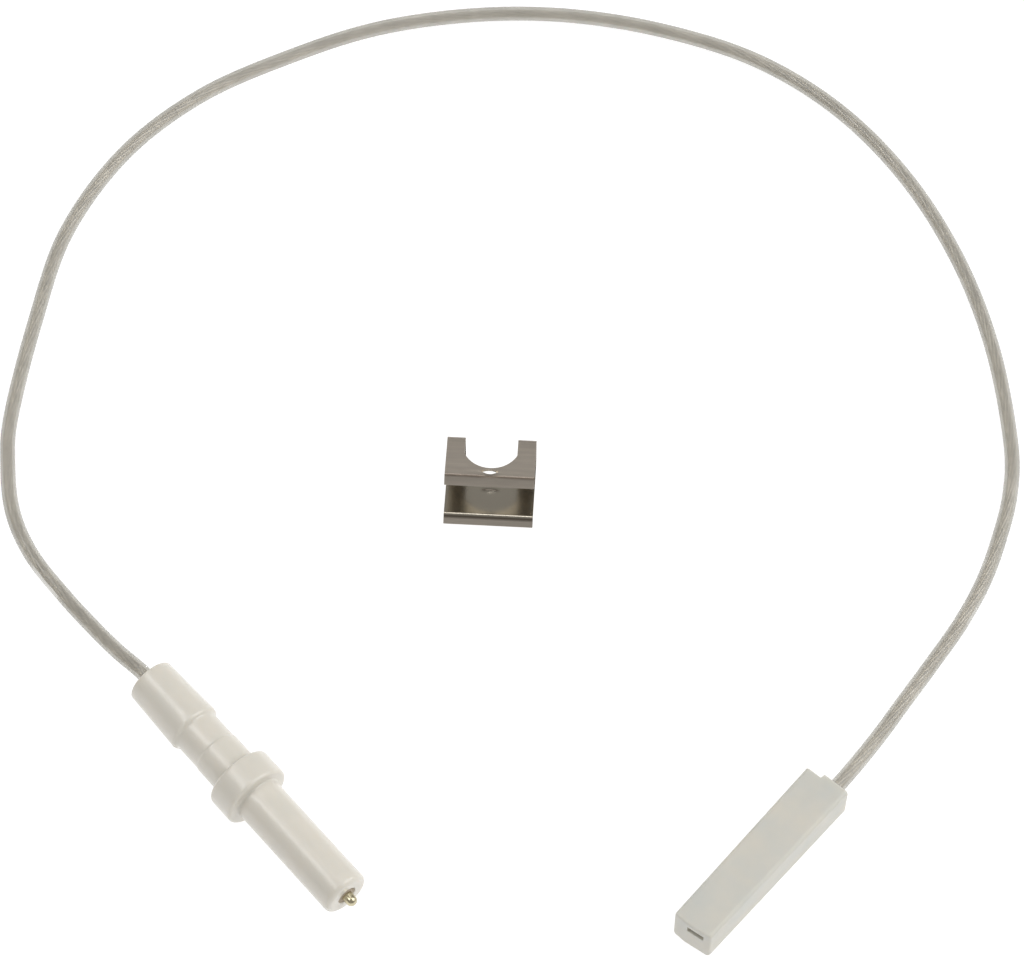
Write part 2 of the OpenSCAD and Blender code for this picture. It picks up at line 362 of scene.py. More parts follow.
@dataclass(frozen=True)
class Cement:
    """Dull fired cement with a sandy grain."""

    name: str
    pale: Colour
    dark: Colour

    def build(self) -> bpy.types.Material:
        """Builds the cement."""
        shader = Shader(self.name)
        grit = shader.effect(Effects.grain(), Scale=5200.0, Strength=0.7, Depth=0.08 * MM)
        shader.link(shader.blend(grit.outputs["Mask"], self.dark, self.pale), "Base Color")
        shader.link(grit.outputs["Normal"], "Normal")
        shader.set(Roughness=0.85)
        return shader.material


@dataclass(frozen=True)
class ClearSilicone:
    """Clear silicone rubber, a little cloudy, with a soft skin."""

    pale: Colour = (0.7, 0.68, 0.625)
    cloud: Colour = (0.57, 0.555, 0.51)

    def build(self) -> bpy.types.Material:
        """Builds the silicone."""
        shader = Shader("clear_silicone")
        haze = shader.effect(Effects.mottle(), Scale=260.0, Contrast=1.8)
        shader.link(shader.blend(haze.outputs["Mask"], self.cloud, self.pale), "Base Color")
        skin = shader.effect(Effects.grain(), Scale=1500.0, Strength=0.15, Depth=0.02 * MM)
        shader.link(shader.spread(skin.outputs["Mask"], 0.16, 0.3), "Roughness")
        shader.link(skin.outputs["Normal"], "Normal")
        shader.set(Transmission_Weight=0.62, IOR=1.41)
        return shader.material


@dataclass(frozen=True)
class MilkyPlastic:
    """Milky, slightly waxy moulded plastic that lets light in a little way."""

    pale: Colour = (0.63, 0.6, 0.53)
    cloud: Colour = (0.555, 0.56, 0.525)

    def build(self) -> bpy.types.Material:
        """Builds the plastic."""
        shader = Shader("milky_plastic")
        clouds = shader.effect(Effects.mottle(), Scale=130.0, Contrast=2.4)
        shader.link(shader.blend(clouds.outputs["Mask"], self.cloud, self.pale), "Base Color")
        skin = shader.effect(Effects.grain(), Scale=1100.0, Strength=0.25, Depth=0.03 * MM)
        shader.link(shader.spread(skin.outputs["Mask"], 0.36, 0.56), "Roughness")
        shader.link(skin.outputs["Normal"], "Normal")
        shader.set(Subsurface_Weight=0.5, Subsurface_Radius=(1.0, 0.95, 0.85),
                   Subsurface_Scale=1.2 * MM)
        return shader.material


@dataclass(frozen=True)
class SpringSteel:
    """Spring sheet with a brushed outer side and a bright inner side, darkened with painted shade where the
    mesh's shade mark says.
    """

    brushed: Colour = (0.69, 0.62, 0.53)
    brushed_dark: Colour = (0.5, 0.45, 0.395)
    bright: Colour = (0.5, 0.46, 0.39)
    # Painted shade: a dark colour multiplied in along the bends and round the lower barb's opening, by the
    # shade mark.
    painted_shade: Colour = (0.3, 0.27, 0.25)
    brushed_roughness: tuple[float, float] = (0.26, 0.44)
    bright_roughness: float = 0.17
    # Mesh attribute from 0 to 1 that says how much painted shade falls on each point.
    shade_mark: str = "painted_shade_mark"
    uv: str = "blank"
    side: str = "inner_side"

    def build(self) -> bpy.types.Material:
        """Builds the steel, whose two sides differ by the mesh's own attribute."""
        shader = Shader("spring_steel", stretch=(1.0, 0.04, 1.0), uv=self.uv)
        side, shade_mark = shader.attribute(self.side), shader.attribute(self.shade_mark)
        lines = shader.effect(Effects.grain(), Scale=7.0, Strength=0.2, Depth=0.006 * MM)
        patches = shader.effect(Effects.mottle(), Scale=1.1, Contrast=2.0)
        streaks = math_node(shader.tree, "MULTIPLY", lines.outputs["Mask"], patches.outputs["Mask"])
        outer = shader.blend(streaks, self.brushed_dark, self.brushed)
        # Both sides are multiplied towards the painted shade colour by the shade mark.
        colour = shader.blend(side, shader.blend(shade_mark, outer, self.painted_shade, "MULTIPLY"),
                              shader.blend(shade_mark, self.bright, self.painted_shade, "MULTIPLY"))
        shader.link(colour, "Base Color")
        rough = shader.tree.nodes.new("ShaderNodeMix")
        shader.tree.links.new(side, rough.inputs["Factor"])
        brushed_rough = shader.spread(lines.outputs["Mask"], *self.brushed_roughness)
        shader.tree.links.new(brushed_rough, rough.inputs["A"])
        rough.inputs["B"].default_value = self.bright_roughness
        shader.link(rough.outputs["Result"], "Roughness")
        shader.link(lines.outputs["Normal"], "Normal")
        shader.set(Metallic=1.0)
        return shader.material


@dataclass(frozen=True)
class PaleBoard:
    """Pale board for the floor, lit from below like a light table."""

    colour: Colour = (0.3, 0.3, 0.3)
    glow: float = 0.88

    def build(self) -> bpy.types.Material:
        """Builds the board."""
        shader = Shader("pale_board")
        shader.set(Base_Color=(*self.colour, 1.0), Roughness=0.9, Specular_IOR_Level=0.1,
                   Emission_Color=(1.0, 1.0, 1.0, 1.0), Emission_Strength=self.glow)
        return shader.material


# --- Shaping helpers -----------------------------------------------------------------------


@dataclass(frozen=True)
class Corner:
    """Corner of a turned outline: its station, its radius and how far it is rounded."""

    x: float
    r: float
    rounding: float = 0.0


def turned(corners: Sequence[Corner], closed: bool, steps: int = 96,
           curve_steps: int = 5) -> bmesh.types.BMesh:
    """Spins an outline round the X axis.

    Long straight stretches are cut up first, so that smooth shading stays even beside corners.

    Args:
        corners: The outline, along the axis.
        closed: Whether the last corner joins the first, as on a bored piece.
        steps: Steps of the spin.
        curve_steps: Steps of each rounded corner.

    Returns:
        The turned solid.
    """
    bm = bmesh.new()
    points = [bm.verts.new((c.x, c.r, 0.0)) for c in corners]
    pairs = list(zip(points, points[1:]))
    if closed:
        pairs.append((points[-1], points[0]))
    for a, b in pairs:
        bm.edges.new((a, b))
    for corner, point in zip(corners, points):
        if corner.rounding > 0.0:
            bmesh.ops.bevel(bm, geom=[point], offset=corner.rounding, offset_type="OFFSET",
                            segments=curve_steps, profile=0.5, affect="VERTICES", material=-1)
    straight = [edge for edge in bm.edges if edge.calc_length() > LONG_EDGE]
    bmesh.ops.subdivide_edges(bm, edges=straight, cuts=LONG_EDGE_CUTS)
    bmesh.ops.spin(bm, geom=bm.verts[:] + bm.edges[:], cent=(0.0, 0.0, 0.0), axis=(1.0, 0.0, 0.0),
                   dvec=(0.0, 0.0, 0.0), angle=FULL_TURN, steps=steps, use_merge=True,
                   use_normal_flip=False, use_duplicate=False)
    bmesh.ops.remove_doubles(bm, verts=bm.verts[:], dist=1e-7)
    bmesh.ops.recalc_face_normals(bm, faces=bm.faces[:])
    return bm


def shade(bm: bmesh.types.BMesh, crease: float = math.radians(38.0)) -> None:
    """Shades faces smooth and leaves edges sharper than the crease angle sharp."""
    for face in bm.faces:
        face.smooth = True
    for edge in bm.edges:
        if len(edge.link_faces) == 2 and edge.calc_face_angle(0.0) > crease:
            edge.smooth = False


def piece_from(bm: bmesh.types.BMesh, name: str, material: bpy.types.Material) -> bpy.types.Object:
    """Turns a bmesh into an object at the origin.

    Args:
        bm: The shape, in the row frame. It is freed.
        name: Name of the piece.
        material: Its finish.

    Returns:
        The new object.
    """
    mesh = bpy.data.meshes.new(name)
    bm.to_mesh(mesh)
    bm.free()
    mesh.materials.append(material)
    piece = bpy.data.objects.new(name, mesh)
    bpy.context.scene.collection.objects.link(piece)
    return piece


def install(piece: bpy.types.Object, body: Body, slot: Slot, *nodes: str) -> bpy.types.Object:
    """Puts a finished piece on its body in place of the plain nodes that it stands for.

    Args:
        piece: The finished piece.
        body: Body that carries it.
        slot: Finish that the record names for it.
        nodes: Nodes that it stands for.

    Returns:
        The same piece.
    """
    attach(piece, body.value)
    if nodes:
        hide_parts(*nodes)
    log.info("%s rides on %s in %s", piece.name, body.value, slot.value)
    return piece


# --- Studio --------------------------------------------------------------------------------


@dataclass
class Studio:
    """Camera, pale floor and soft light."""

    floor_height: float
    aim: Vector = field(default_factory=lambda: Vector((-19.68, 69.13, -5.6)) * MM)
    turn: float = math.radians(49.2)
    rise: float = math.radians(60.0)
    distance: float = 605.2 * MM
    lens: float = 129.2
    floor_size: float = 6.0

    def direction(self, turn: float, rise: float) -> Vector:
        """Unit vector from the object towards a place, by its turn from -Y and its rise."""
        return Vector((math.sin(turn) * math.cos(rise), -math.cos(turn) * math.cos(rise), math.sin(rise)))

    def place_camera(self) -> None:
        """Makes the camera and aims it."""
        data = bpy.data.cameras.new("studio_camera")
        data.lens = self.lens
        data.clip_start, data.clip_end = 0.01, 20.0
        camera = bpy.data.objects.new("studio_camera", data)
        bpy.context.scene.collection.objects.link(camera)
        back = self.direction(self.turn, self.rise)
        camera.location = self.aim + back * self.distance
        camera.rotation_mode = "QUATERNION"
        camera.rotation_quaternion = (-back).to_track_quat("-Z", "Y")
        bpy.context.scene.camera = camera

    def lay_floor(self) -> None:
        """Lays the floor that the object lies on."""
        bm = bmesh.new()
        bmesh.ops.create_grid(bm, x_segments=1, y_segments=1, size=self.floor_size / 2,
                              matrix=Matrix.Translation((0.0, 0.0, self.floor_height)))
        piece_from(bm, "pale_floor", PaleBoard().build())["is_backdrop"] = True

    def hang_light(self, name: str, turn: float, rise: float, away: float, size: tuple[float, float],
                   power: float) -> None:
        """Hangs a soft rectangular light that faces the object.

        Args:
            name: Name of the light.
            turn: Its turn from -Y, in degrees.
            rise: Its height above the horizon, in degrees.
            away: Its distance.
            size: Its two sides.
            power: Its power in watts.
        """
        data = bpy.data.lights.new(name, "AREA")
        data.shape = "RECTANGLE"
        data.size, data.size_y = size
        data.energy = power
        light = bpy.data.objects.new(name, data)
        bpy.context.scene.collection.objects.link(light)
        towards = self.direction(math.radians(turn), math.radians(rise))
        light.location = self.aim + towards * away
        light.rotation_mode = "QUATERNION"
        light.rotation_quaternion = (-towards).to_track_quat("-Z", "Y")

    def fill_room(self, overhead: float, horizon: float) -> None:
        """Fills the room with soft light that is brighter near the horizon.

        Args:
            overhead: Strength straight above.
            horizon: Strength at the horizon.
        """
        world = bpy.data.worlds.new("studio_room")
        bpy.context.scene.world = world
        world.use_nodes = True
        nodes, links = world.node_tree.nodes, world.node_tree.links
        coordinates = nodes.new("ShaderNodeTexCoord")
        split = nodes.new("ShaderNodeSeparateXYZ")
        height = nodes.new("ShaderNodeMapRange")
        height.inputs["To Min"].default_value = horizon
        height.inputs["To Max"].default_value = overhead
        links.new(coordinates.outputs["Generated"], split.inputs["Vector"])
        links.new(split.outputs["Z"], height.inputs["Value"])
        links.new(height.outputs["Result"], nodes["Background"].inputs["Strength"])
        nodes["Background"].inputs["Color"].default_value = (1.0, 0.985, 0.955, 1.0)

    def light(self) -> None:
        """Lays the floor and hangs every light."""
        self.lay_floor()
        self.fill_room(overhead=0.37, horizon=0.36)
        self.hang_light("broad_softbox", 142.0, 48.0, 0.95, (0.9, 0.9), 6.0)
        self.hang_light("left_strip", -49.2, 60.0, 1.0, (0.7, 0.16), 2.1)
        self.hang_light("top_strip", 229.2, 80.0, 1.0, (0.6, 0.14), 0.8)
        bpy.context.scene.view_settings.view_transform = "Standard"


# --- Lead ----------------------------------------------------------------------------------


@dataclass(frozen=True)
class Route:
    """Smooth line through listed points, in metres."""

    points: tuple[tuple[float, float, float], ...]

    def at(self, index: int) -> Vector:
        """A point of the route, mirrored past either end."""
        last = len(self.points) - 1
        if index < 0:
            return 2 * self.at(0) - self.at(1)
        if index > last:
            return 2 * self.at(last) - self.at(last - 1)
        return Vector(self.points[index])

    def on_span(self, index: int, share: float) -> Vector:
        """Catmull-Rom point at a share of one span."""
        a, b, c, d = (self.at(index + k) for k in (-1, 0, 1, 2))
        return 0.5 * (2 * b + (c - a) * share + (2 * a - 5 * b + 4 * c - d) * share**2
                      + (3 * b - a - 3 * c + d) * share**3)

    def sampled(self, gap: float) -> list[Vector]:
        """Points along the route, about a gap apart."""
        line = []
        for index in range(len(self.points) - 1):
            steps = max(1, round((self.at(index + 1) - self.at(index)).length / gap))
            line += [self.on_span(index, k / steps) for k in range(steps)]
        return line + [self.at(len(self.points) - 1)]


LEAD_ROUTE = Route((
    (-0.023, 0.0, 0.0), (-0.029, -0.0001, -0.0001), (-0.035, -0.0005, -0.0012),
    (-0.042, -0.0004, -0.0029), (-0.05, -0.0001, -0.0043), (-0.0595, 0.0005, -0.00435),
    (-0.068, 0.003, -0.00435), (-0.076, 0.008, -0.00435), (-0.083, 0.014, -0.00435),
    (-0.095, 0.028, -0.00435), (-0.106, 0.043, -0.00435), (-0.1125, 0.0605, -0.00435),
    (-0.1135, 0.078, -0.00435), (-0.11, 0.095, -0.00435), (-0.1045, 0.111, -0.00435),
    (-0.0955, 0.126, -0.00435), (-0.0845, 0.1385, -0.00435), (-0.071, 0.149, -0.00435),
    (-0.0555, 0.157, -0.00435), (-0.0385, 0.1605, -0.00435), (-0.0205, 0.1595, -0.00435),
    (-0.0025, 0.1545, -0.00435), (0.014, 0.1465, -0.00435), (0.029, 0.136, -0.00435),
    (0.036, 0.129, -0.00435), (0.041, 0.1215, -0.00435), (0.045, 0.114, -0.00435),
    (0.048, 0.106, -0.00435), (0.0503, 0.0975, -0.0041), (0.0526, 0.0887, -0.0033),
    (0.0549, 0.0802, -0.0021), (0.0568, 0.0711, -0.0012), (0.0576, 0.0641, -0.001),
    (0.0584, 0.0566, -0.001), (0.0594, 0.0491, -0.001),
))


@dataclass
class Lead:
    """Clear silicone jacket over a conductor of seven twisted strands."""

    diameter: float = 2.5 * MM
    strand: float = 0.34 * MM
    outer_strands: int = 6
    lay: float = 20.0 * MM
    front_tail: float = 7.0 * MM
    rear_tail: float = 4.5 * MM
    plug_turn: float = math.radians(98.0)
    length: float = 0.425
    jacket: bpy.types.Object | None = None
    core: bpy.types.Object | None = None

    def curve(self, name: str, radius: float, sides: int, material: bpy.types.Material) -> bpy.types.Object:
        """Makes an empty round curve object.

        Args:
            name: Name of the piece.
            radius: Radius of the round section.
            sides: Extra steps of a quarter of the section.
            material: Its finish.

        Returns:
            The curve object, with no spline yet.
        """
        data = bpy.data.curves.new(name, "CURVE")
        data.dimensions = "3D"
        data.bevel_depth = radius
        data.bevel_resolution = sides
        data.use_fill_caps = True
        data.materials.append(material)
        curve = bpy.data.objects.new(name, data)
        bpy.context.scene.collection.objects.link(curve)
        return curve

    def build_jacket(self) -> bpy.types.Object:
        """Runs the jacket along the route.

        Returns:
            The jacket, riding on the electrode.
        """
        jacket = self.curve("silicone_jacket", self.diameter / 2, 6, ClearSilicone().build())
        jacket.data.resolution_u = 10
        spline = jacket.data.splines.new("BEZIER")
        count = len(LEAD_ROUTE.points)
        spline.bezier_points.add(count - 1)
        for index, point in enumerate(spline.bezier_points):
            here = LEAD_ROUTE.at(index)
            lean = (LEAD_ROUTE.at(index + 1) - LEAD_ROUTE.at(index - 1)) / 6
            point.co, point.handle_left, point.handle_right = here, here - lean, here + lean
        self.jacket = install(jacket, Body.ELECTRODE, Slot.JACKET, "lead")
        return self.jacket

    def centre_line(self) -> list[Vector]:
        """The conductor's line, bare at both ends."""
        line = LEAD_ROUTE.sampled(0.9 * MM)
        front = [line[0] + Vector((self.front_tail * k / 8, 0.0, 0.0)) for k in range(8, 0, -1)]
        ahead = Vector((-math.cos(self.plug_turn), -math.sin(self.plug_turn), 0.0))
        rear = [line[-1] + ahead * self.rear_tail * k / 5 for k in range(1, 6)]
        return front + line + rear

    def build_core(self) -> bpy.types.Object:
        """Twists the strands round the middle one.

        Returns:
            The conductor, riding on the electrode.
        """
        metal = DrawnMetal("tinned_copper", (0.86, 0.81, 0.72), (0.5, 0.45, 0.37),
                           roughness=(0.24, 0.42), stretch=(1.0, 1.0, 1.0))
        core = self.curve("twisted_conductor", self.strand / 2, 2, metal.build())
        line = self.centre_line()
        travelled = 0.0
        places: list[list[Vector]] = [[] for _ in range(self.outer_strands + 1)]
        for index, point in enumerate(line):
            along = (line[min(index + 1, len(line) - 1)] - line[max(index - 1, 0)]).normalized()
            side = Vector((0.0, 0.0, 1.0)).cross(along).normalized()
            up = along.cross(side)
            if index:
                travelled += (point - line[index - 1]).length
            places[0].append(point)
            for k in range(self.outer_strands):
                angle = FULL_TURN * (k / self.outer_strands + travelled / self.lay)
                offset = math.cos(angle) * side + math.sin(angle) * up
                places[k + 1].append(point + offset * self.strand)
        for strand in places:
            spline = core.data.splines.new("POLY")
            spline.points.add(len(strand) - 1)
            for point, place in zip(spline.points, strand):
                point.co = (*place, 1.0)
        self.core = install(core, Body.ELECTRODE, Slot.STRANDS, "front_strands", "rear_strands")
        return self.core


# --- Plug at the lead's far end --------------------------------------------------------------


@dataclass
class Plug:
    """Blade receptacle crimped on the lead, and the milky cover over it."""

    lead: Lead
    floor_height: float
    length: float = 33.1 * MM
    width: float = 7.0 * MM
    front_size: tuple[float, float] = (6.8 * MM, 7.4 * MM)
    rear_size: tuple[float, float] = (7.6 * MM, 7.0 * MM)
    shift: float = 0.7 * MM
    long_edge: float = 0.6 * MM
    front_bow: float = 0.35 * MM
    front_skew: float = math.radians(4.0)
    front_wall: float = 0.8 * MM
    nose: float = 0.92 * MM
    jacket_end: float = 12.0 * MM
    window: tuple[float, float] = (2.9 * MM, 1.35 * MM)
    window_lift: float = 0.88 * MM
    bay_lift: float = 0.325 * MM
    front_bay: tuple[float, float] = (3.74 * MM, 2.58 * MM)
    front_bay_end: float = 8.12 * MM
    rear_bay: tuple[float, float] = (3.68 * MM, 3.68 * MM)
    step_share: float = 0.37
    step_back: float = 0.8 * MM

    def placement(self) -> Matrix:
        """Matrix from the plug's own frame, u along +X from the blade's end, to the row frame."""
        end = Vector(LEAD_ROUTE.points[-1])
        return (Matrix.Translation(end) @ Matrix.Rotation(self.lead.plug_turn, 4, "Z")
                @ Matrix.Translation((-self.jacket_end, 0.0, 0.0)))

    def ring(self, bm: bmesh.types.BMesh, loop: list[bmesh.types.BMVert], u: float,
             size: tuple[float, float], corner: float, middle: tuple[float, float]) -> None:
        """Moves a loop of verts to a rounded rectangle across the plug.

        Args:
            bm: The bmesh that holds the loop; not used.
            loop: The loop's verts, in order.
            u: Station along the plug.
            size: Width and height of the rectangle.
            corner: Radius of its corners.
            middle: Its middle, aside and up.
        """
        quarter = len(loop) // 4
        for index, vert in enumerate(loop):
            side, step = divmod(index, quarter)
            # The first and last steps of a quarter lie on the flats, beside the corner.
            beside = {0: -corner / 3, quarter - 1: corner / 3}.get(step, 0.0)
            share = min(max((step - 1) / (quarter - 3), 0.0), 1.0)
            angle = math.pi / 2 * (side + share)
            sx = 1 if side in (0, 3) else -1
            sy = 1 if side in (0, 1) else -1
            cos, sin = math.cos(angle), math.sin(angle)
            vert.co = (
                u,
                middle[0] + sx * (size[0] / 2 - corner) + corner * cos - beside * sin,
                middle[1] + sy * (size[1] / 2 - corner) + corner * sin + beside * cos,
            )

    def band(self, u: float, tuck: float) -> tuple[float, tuple[float, float], float, tuple[float, float]]:
        """One band of the cover's outside, which widens and flattens a little to the rear.

        Args:
            u: Station along the plug.
            tuck: How far it is drawn in all round.

        Returns:
            Its station, size, corner radius and middle.
        """
        share = (u + self.nose) / self.length
        width, height = (a + (b - a) * share for a, b in zip(self.front_size, self.rear_size))
        middle = (self.shift, self.floor_height + height / 2 - LEAD_ROUTE.points[-1][2])
        return u, (width - 2 * tuck, height - 2 * tuck), self.long_edge - tuck, middle

    def build_cover(self) -> bpy.types.Object:
        """Lofts the cover: outside, front wall, window, and the two bays inside.

        Returns:
            The cover, riding on its own body.
        """
        front, rear = -self.nose, self.length - self.nose
        soft, lip = 0.3 * MM, 0.15 * MM
        inner = front + self.front_wall
        sill = 0.06 * MM
        mouth = (self.window[0] + 2 * sill, self.window[1] + 2 * sill)
        gape = (self.rear_bay[0] + 2 * lip, self.rear_bay[1] + 2 * lip)
        axis, bay, pane = (0.0, 0.0), (0.0, self.bay_lift), (0.0, self.window_lift)
        # (station, size, corner radius, middle)
        bands = []
        for k in range(5):
            angle = math.pi / 2 * k / 4
            bands.append(self.band(front + soft * (1 - math.cos(angle)), soft * (1 - math.sin(angle))))
        bands += [self.band(front + u, 0.0) for u in (0.55 * MM, 8.0 * MM, 16.0 * MM, 24.0 * MM)]
        bands += [
            self.band(rear - lip - 0.25 * MM, 0.0),
            self.band(rear - lip, 0.0),
            self.band(rear, lip),
            (rear, gape, 0.4 * MM, axis),
            (rear - lip, self.rear_bay, 0.3 * MM, axis),
            (self.front_bay_end + front, self.rear_bay, 0.3 * MM, axis),
            (self.front_bay_end + front - 0.01 * MM, self.front_bay, 0.2 * MM, bay),
            (inner, self.front_bay, 0.2 * MM, bay),
            (inner - 0.01 * MM, self.window, 0.12 * MM, pane),
            (front + sill, self.window, 0.12 * MM, pane),
            (front, mouth, 0.16 * MM, pane),
        ]
        bm = bmesh.new()
        bmesh.ops.create_circle(bm, segments=40, radius=self.width)
        loop = sorted(bm.verts, key=lambda v: math.atan2(v.co.y, v.co.x) % FULL_TURN)
        first = list(loop)
        for number, (u, size, corner, centre) in enumerate(bands):
            if number:
                edges = [bm.edges.get((a, b)) for a, b in zip(loop, loop[1:] + loop[:1])]
                made = bmesh.ops.extrude_edge_only(bm, edges=edges)
                fresh = {v for v in made["geom"] if isinstance(v, bmesh.types.BMVert)}
                loop = [next(e.other_vert(v) for e in v.link_edges if e.other_vert(v) in fresh) for v in loop]
            self.ring(bm, loop, u, size, corner, centre)
        ends = [bm.edges.get((a, b)) for ring in (first, loop) for a, b in zip(ring, ring[1:] + ring[:1])]
        bmesh.ops.bridge_loops(bm, edges=ends)
        self.step_rear_edge(bm, rear)
        self.bow_front(bm, front)
        bmesh.ops.remove_doubles(bm, verts=bm.verts[:], dist=1e-8)
        bmesh.ops.recalc_face_normals(bm, faces=bm.faces[:])
        bmesh.ops.transform(bm, matrix=self.placement(), verts=bm.verts[:])
        shade(bm)
        cover = piece_from(bm, "moulded_cover", MilkyPlastic().build())
        return install(cover, Body.COVER, Slot.COVER, "connector_cover")

    def step_rear_edge(self, bm: bmesh.types.BMesh, rear: float) -> None:
        """Sets back the left part of the rear edge.

        Args:
            bm: The cover in its own frame.
            rear: Station of the rear edge.
        """
        line = self.shift + self.width / 2 - self.step_share * self.width
        for shift in (0.0, 0.12 * MM):
            bmesh.ops.bisect_plane(bm, geom=bm.verts[:] + bm.edges[:] + bm.faces[:], dist=1e-8,
                                   plane_co=(0.0, line + shift, 0.0), plane_no=(0.0, 1.0, 0.0))
        for vert in bm.verts:
            if vert.co.x > rear - 1.0 * MM and vert.co.y > line + 0.06 * MM:
                vert.co.x -= self.step_back

    def bow_front(self, bm: bmesh.types.BMesh, front: float) -> None:
        """Bows the front face a little and turns it slightly off square.

        Args:
            bm: The cover in its own frame.
            front: Station of the front face.
        """
        for vert in bm.verts:
            if vert.co.x < front + 0.5 * MM:
                aside = vert.co.y - self.shift
                vert.co.x -= self.front_bow * (1 - (2 * aside / self.width) ** 2)
                vert.co.x -= math.tan(self.front_skew) * aside

    def build_receptacle(self) -> bpy.types.Object:
        """Softens the receptacle's stamped edges.

        Returns:
            The receptacle, riding on the electrode with the lead.
        """
        brass = DrawnMetal("tinned_brass", (0.74, 0.64, 0.4), (0.5, 0.44, 0.28), stretch=(1.0, 0.08, 1.0),
                           turn=math.pi / 2 - self.lead.plug_turn)
        bm = bmesh.new()
        bm.from_mesh(bpy.data.objects["blade_receptacle"].data)
        bmesh.ops.remove_doubles(bm, verts=bm.verts[:], dist=1e-6)
        bmesh.ops.dissolve_limit(bm, angle_limit=math.radians(1.0), verts=bm.verts[:], edges=bm.edges[:])
        sharp = [e for e in bm.edges if len(e.link_faces) == 2 and e.calc_face_angle(0.0) > 0.9]
        bmesh.ops.bevel(bm, geom=sharp, offset=0.04 * MM, offset_type="OFFSET", segments=2, profile=0.5,
                        affect="EDGES", material=-1, clamp_overlap=True)
        shade(bm)
        receptacle = piece_from(bm, "stamped_receptacle", brass.build())
        return install(receptacle, Body.ELECTRODE, Slot.BRASS, "blade_receptacle")


# --- Ceramic and what it holds ---------------------------------------------------------------


@dataclass
class Insulator:
    """Glazed ceramic with its spark rod, cement, ferrule and potting."""

    front_length: float = 21.8 * MM
    front_radius: float = 3.85 * MM
    front_edge: float = 0.8 * MM
    collar_radius: float = 5.6 * MM
    collar_length: float = 4.9 * MM
    collar_edge: float = 0.5 * MM
    neck_length: float = 10.6 * MM
    neck_radius: float = 3.8 * MM
    neck_front_radius: float = 3.925 * MM
    rear_length: float = 11.4 * MM
    rear_radius: float = 3.95 * MM
    rear_front_radius: float = 4.35 * MM
    bore_radius: float = 0.95 * MM
    rear_hole_radius: float = 2.1 * MM
    rear_hole_end: float = -12.1 * MM
    seal_radius: float = 1.6 * MM
    seal_depth: float = 1.6 * MM
    seal_sink: float = 0.2 * MM
    rod_radius: float = 0.9 * MM
    rod_back: float = -16.0 * MM
    tip_out: float = 1.9 * MM
    ferrule_radius: float = 1.6 * MM
    ferrule_length: float = 7.0 * MM
    dent_place: float = 1.8 * MM
    dent_spread: float = 0.7 * MM
    dent_depth: float = 0.14 * MM
    core_radius: float = 0.5 * MM
    jacket_radius: float = 1.25 * MM
    jacket_back: float = -23.0 * MM

    @property
    def neck_back(self) -> float:
        """Station where the neck meets the rear barrel."""
        return -self.collar_length - self.neck_length

    @property
    def rear(self) -> float:
        """Station of the rear end."""
        return self.neck_back - self.rear_length

    def fit(self, bm: bmesh.types.BMesh, name: str, material: bpy.types.Material, slot: Slot,
            node: str) -> bpy.types.Object:
        """Shades a turned piece and installs it on the electrode.

        Args:
            bm: The turned solid. It is freed.
            name: Name of the piece.
            material: Its finish.
            slot: Finish that the record names for it.
            node: Node that it stands for.

        Returns:
            The piece, riding on the electrode.
        """
        shade(bm)
        return install(piece_from(bm, name, material), Body.ELECTRODE, slot, node)

    def build_ceramic(self) -> bpy.types.Object:
        """Turns the glazed body with its bore."""
        root = 0.35 * MM
        step = self.neck_back + self.neck_length / 2
        outline = [
            Corner(self.rear, self.rear_radius, 0.2 * MM),
            Corner(self.neck_back - 0.15 * MM, self.rear_front_radius, 0.35 * MM),
            Corner(self.neck_back + 0.25 * MM, self.neck_radius, 0.25 * MM),
            Corner(step - 0.2 * MM, self.neck_radius, 0.15 * MM),
            Corner(step + 0.1 * MM, self.neck_front_radius, 0.1 * MM),
            Corner(-self.collar_length, self.neck_front_radius, root),
            Corner(-self.collar_length, self.collar_radius, self.collar_edge),
            Corner(0.0, self.collar_radius, self.collar_edge),
            Corner(0.0, self.front_radius, root),
            Corner(self.front_length, self.front_radius, self.front_edge),
            Corner(self.front_length, self.seal_radius, 0.2 * MM),
            Corner(self.front_length - self.seal_sink - self.seal_depth, self.seal_radius),
            Corner(self.front_length - self.seal_sink - self.seal_depth, self.bore_radius),
            Corner(self.rear_hole_end, self.bore_radius),
            Corner(self.rear_hole_end, self.rear_hole_radius),
            Corner(self.rear, self.rear_hole_radius, 0.3 * MM),
        ]
        bm = turned(outline, closed=True)
        return self.fit(bm, "glazed_insulator", GlazedCeramic().build(), Slot.CERAMIC, "ceramic_body")

    def build_rod(self) -> bpy.types.Object:
        """Turns the spark rod with its domed tip."""
        tip = self.front_length + self.tip_out
        outline = [
            Corner(self.rod_back, 0.0),
            Corner(self.rod_back, self.rod_radius, 0.15 * MM),
            Corner(tip, self.rod_radius, 0.97 * self.rod_radius),
            Corner(tip, 0.0),
        ]
        bm = turned(outline, closed=False, steps=48, curve_steps=10)
        alloy = DrawnMetal("heat_proof_alloy", (0.66, 0.6, 0.42), (0.42, 0.38, 0.27), roughness=(0.16, 0.3))
        return self.fit(bm, "domed_spark_rod", alloy.build(), Slot.ROD, "spark_rod")

    def build_cement(self) -> bpy.types.Object:
        """Turns the ring of cement, which creeps up the rod and the ceramic."""
        face = self.front_length - self.seal_sink
        outline = [
            Corner(face - self.seal_depth, self.rod_radius),
            Corner(face - self.seal_depth, self.seal_radius),
            Corner(face + 0.1 * MM, self.seal_radius, 0.05 * MM),
            Corner(face - 0.05 * MM, 0.5 * (self.seal_radius + self.rod_radius), 0.2 * MM),
            Corner(face + 0.12 * MM, self.rod_radius, 0.02 * MM),
        ]
        bm = turned(outline, closed=True, steps=48)
        # Partly the cement's own brown, partly painted shade: darkened to stand in for the shade round the
        # rod's root.
        cement = Cement("fired_cement_and_shade", (0.52, 0.45, 0.36), (0.34, 0.28, 0.21))
        return self.fit(bm, "cement_ring", cement.build(), Slot.CEMENT, "tip_cement")

